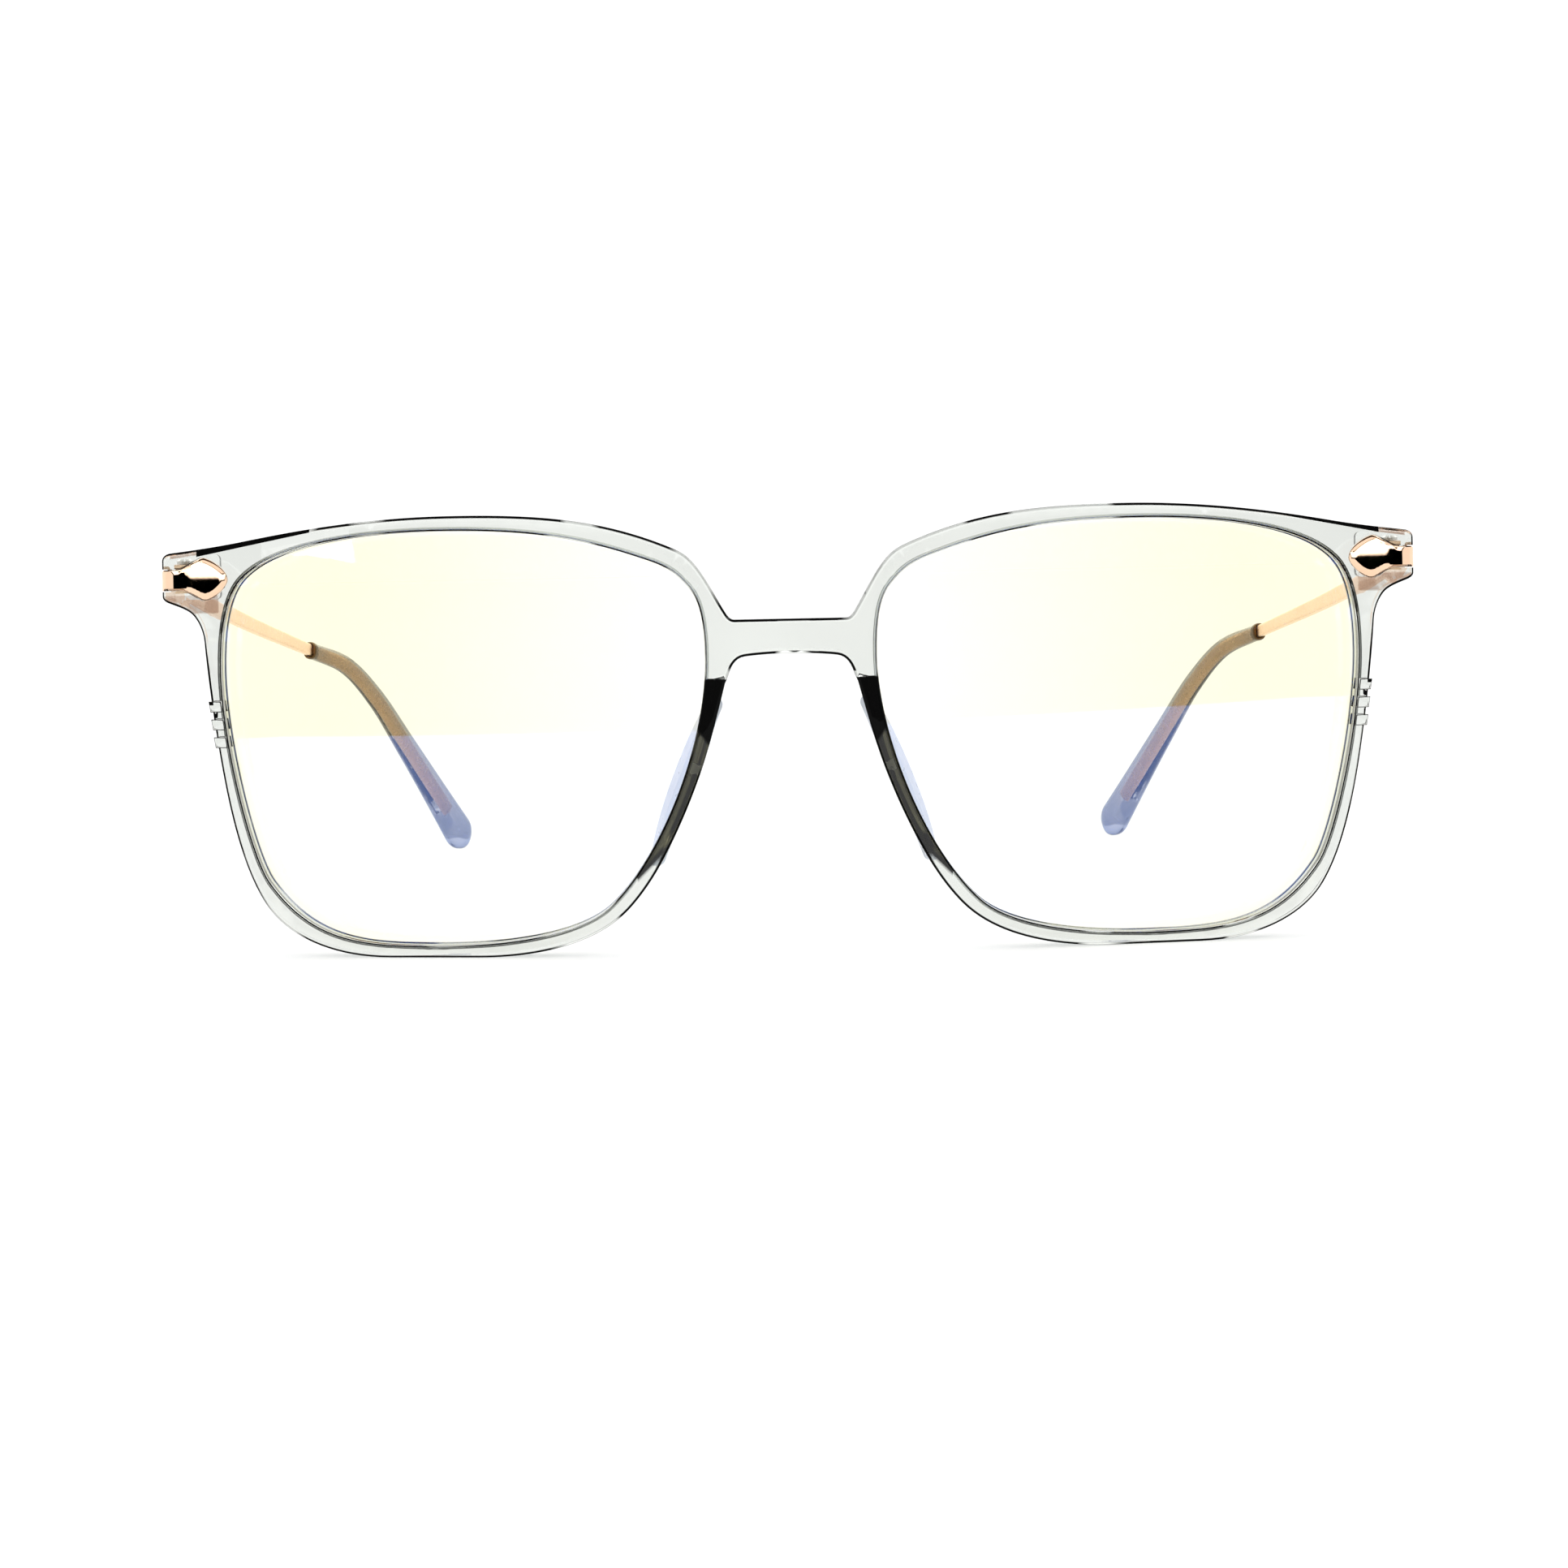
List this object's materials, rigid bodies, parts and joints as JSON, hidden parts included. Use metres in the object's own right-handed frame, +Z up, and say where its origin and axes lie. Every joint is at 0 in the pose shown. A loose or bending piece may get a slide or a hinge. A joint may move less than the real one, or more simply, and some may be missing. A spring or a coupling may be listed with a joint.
{
  "type": "blue light glasses",
  "caption": "Square clear-framed glasses with pale blue-light lenses, pegged nose pads, metal corner trims and folding metal temples.",
  "frame": {"origin": "middle of the base, under the middle of the overall box", "axes": "+Z up, -Y towards what the wearer looks at, +Y along the open temples, +X to the right as seen from the front"},
  "size_m": [0.1448, 0.1432, 0.0503],
  "materials": {
    "clear_front": "clear polished",
    "clear_tip": "clear polished",
    "lens": "clear with a faint yellow tint and a blue reflex coating",
    "silicone": "clear satin",
    "rose_gold": "polished rose gold plating",
    "steel": "bright"
  },
  "bodies": {
    "front": {"front_frame": "clear_front", "lens_right": "lens", "lens_left": "lens", "nose_pad_right": "silicone", "nose_pad_left": "silicone", "corner_trim_right": "rose_gold", "corner_trim_left": "rose_gold", "hinge_front_leaf_right": "rose_gold", "hinge_front_leaf_left": "rose_gold", "leaf_screw_lower_right": "steel", "leaf_screw_lower_left": "steel", "leaf_screw_upper_right": "steel", "leaf_screw_upper_left": "steel", "hinge_screw_right": "steel", "hinge_screw_left": "steel"},
    "temple_right": {"hinge_temple_leaf_right": "rose_gold", "temple_arm_right": "rose_gold", "tip_collar_right": "rose_gold", "temple_tip_right": "clear_tip"},
    "temple_left": {"hinge_temple_leaf_left": "rose_gold", "temple_arm_left": "rose_gold", "tip_collar_left": "rose_gold", "temple_tip_left": "clear_tip"}
  },
  "joints": [
    {"name": "fold_right", "type": "hinge", "parent": "front", "child": "temple_right", "pos_m": [0.0696, -0.05488, 0.0436], "axis": [0, 0, 1], "range_deg": [0, 78]},
    {"name": "fold_left", "type": "hinge", "parent": "front", "child": "temple_left", "pos_m": [-0.0696, -0.05488, 0.0436], "axis": [0, 0, -1], "range_deg": [0, 82]}
  ]
}
